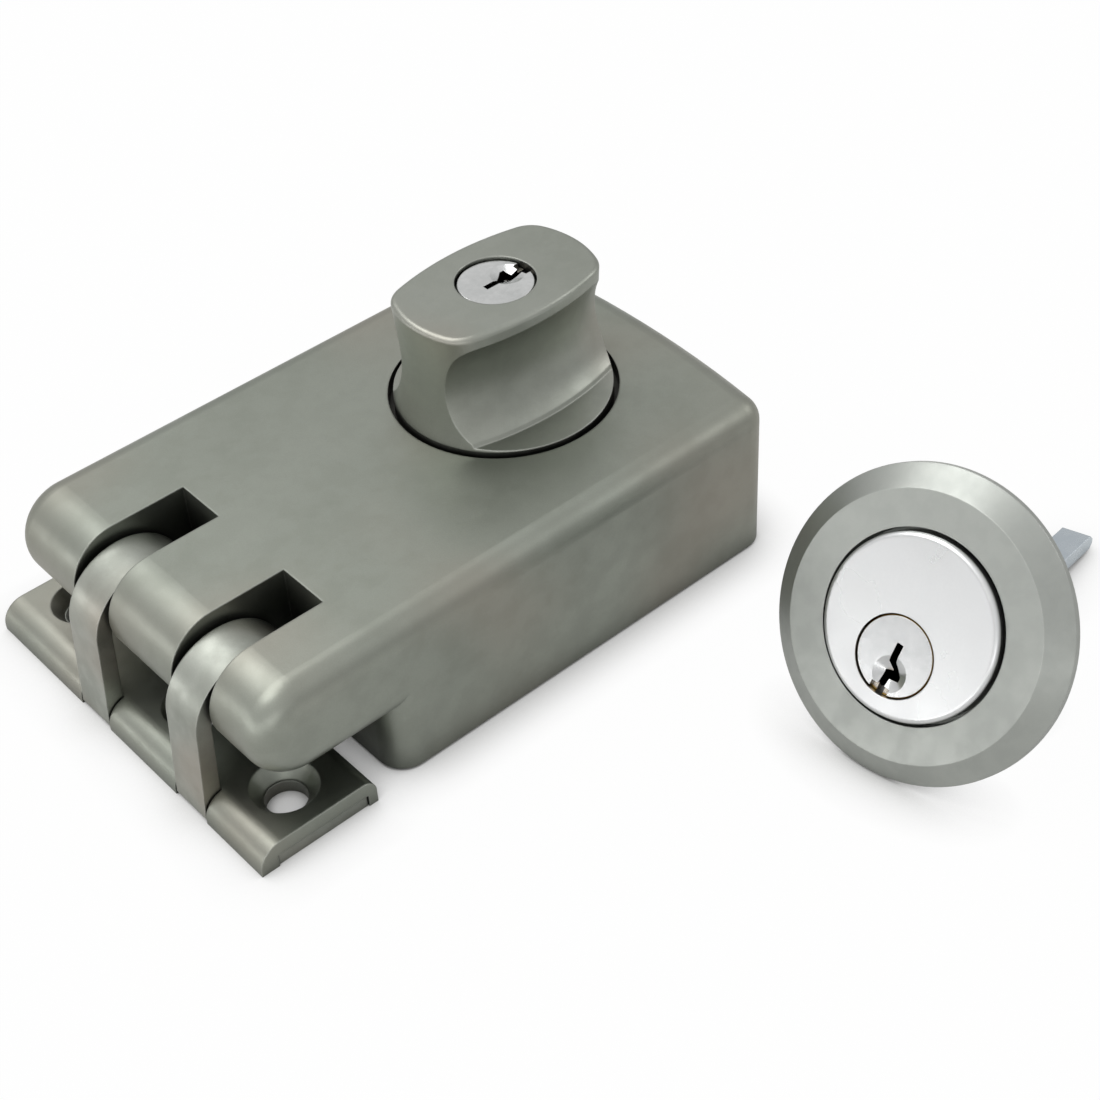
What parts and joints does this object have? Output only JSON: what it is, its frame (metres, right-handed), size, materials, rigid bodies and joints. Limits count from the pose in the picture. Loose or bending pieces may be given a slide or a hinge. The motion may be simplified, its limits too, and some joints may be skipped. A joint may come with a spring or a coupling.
{
  "type": "rim deadlock with strike and outside cylinder",
  "caption": "Surface-mounted deadlock case with a keyed turn knob, round bolts across slots in its nose, a strike with loops and a separate outside key cylinder with ring and tail bar.",
  "frame": {"origin": "on the knob's axis, in the plane of the door that the case and the strike lie on", "axes": "+X from the strike towards the far end of the case, +Z out of the door, +Y along the nose so that the axes are right-handed"},
  "size_m": [0.1537, 0.1532, 0.0541],
  "materials": {
    "satin_chrome": "satin chrome on die-cast zinc",
    "satin_loop": "satin chrome on cast zinc, tumbled",
    "bright_face": "bright nickel with a fine grain",
    "polished_plug": "polished chrome on brass",
    "brass": "bare turned brass",
    "spring_steel": "drawn spring wire",
    "zinc_plate": "bright zinc-plated steel",
    "hard_steel": "ground hardened steel",
    "cast_hub": "plain die-cast zinc"
  },
  "bodies": {
    "lock": {"case": "satin_chrome", "back_plate": "zinc_plate", "plate_screws": "zinc_plate", "hub_washer": "brass", "lock_ring": "zinc_plate", "lock_ring_screws": "zinc_plate", "guide_studs": "zinc_plate", "guide_clips": "zinc_plate", "bolt_bore_cap": "satin_chrome", "cylinder_ring": "satin_chrome", "cylinder_body": "bright_face", "outer_driver_pins": "brass", "outer_pin_springs": "spring_steel", "outer_pin_cover": "brass"},
    "knob": {"knob": "satin_chrome", "drive_hub": "cast_hub", "knob_screws": "zinc_plate", "crank_roller": "hard_steel", "knob_cylinder": "brass", "knob_driver_pins": "brass", "knob_pin_springs": "spring_steel", "knob_pin_cover": "brass", "detent_ball": "hard_steel", "detent_spring": "spring_steel"},
    "bolts": {"bolt_carrier": "zinc_plate", "bolt_pins": "hard_steel"},
    "inside_plug": {"knob_plug": "polished_plug", "knob_key_pins": "brass", "knob_plug_cam": "hard_steel", "knob_cam_screws": "zinc_plate"},
    "dog": {"lock_dog": "hard_steel"},
    "outside_plug": {"outer_plug": "polished_plug", "outer_key_pins": "brass", "tail_cap": "zinc_plate", "tail_cap_screws": "zinc_plate"},
    "tail": {"tail_bar": "zinc_plate"},
    "strike": {"strike_cover": "satin_chrome", "strike_plate": "satin_loop", "strike_loops": "satin_loop"}
  },
  "joints": [
    {"name": "knob_turn", "type": "hinge", "parent": "lock", "child": "knob", "pos_m": [0, 0, 0], "axis": [0, 0, 1], "range_deg": [0, 90]},
    {"name": "bolt_slide", "type": "slide", "parent": "lock", "child": "bolts", "axis": [0, -1, 0], "range_m": [0, 0.0126]},
    {"name": "inside_key_turn", "type": "hinge", "parent": "knob", "child": "inside_plug", "pos_m": [0, 0, 0], "axis": [0, 0, 1], "range_deg": [0, 90]},
    {"name": "dog_slide", "type": "slide", "parent": "knob", "child": "dog", "axis": [1, 0, 0], "range_m": [0, 0.003]},
    {"name": "outside_key_turn", "type": "hinge", "parent": "lock", "child": "outside_plug", "pos_m": [0.01175, -0.08537, 0.01804], "axis": [-0.8636, -0.1076, 0.4925], "range_deg": [-90, 90]},
    {"name": "tail_swing", "type": "hinge", "parent": "outside_plug", "child": "tail", "pos_m": [0.03101, -0.08297, 0.00706], "axis": [0.1839, -0.9769, 0.1091], "range_deg": [-43, 0]},
    {"name": "strike_away", "type": "slide", "parent": "lock", "child": "strike", "axis": [0, 0, -1], "range_m": [0, 0.035]}
  ],
  "couplings": [
    {"joint": "bolt_slide", "follows": "knob_turn", "m_per_rad": 0.0080214},
    {"joint": "dog_slide", "follows": "inside_key_turn", "m_per_rad": 0.0019099}
  ]
}
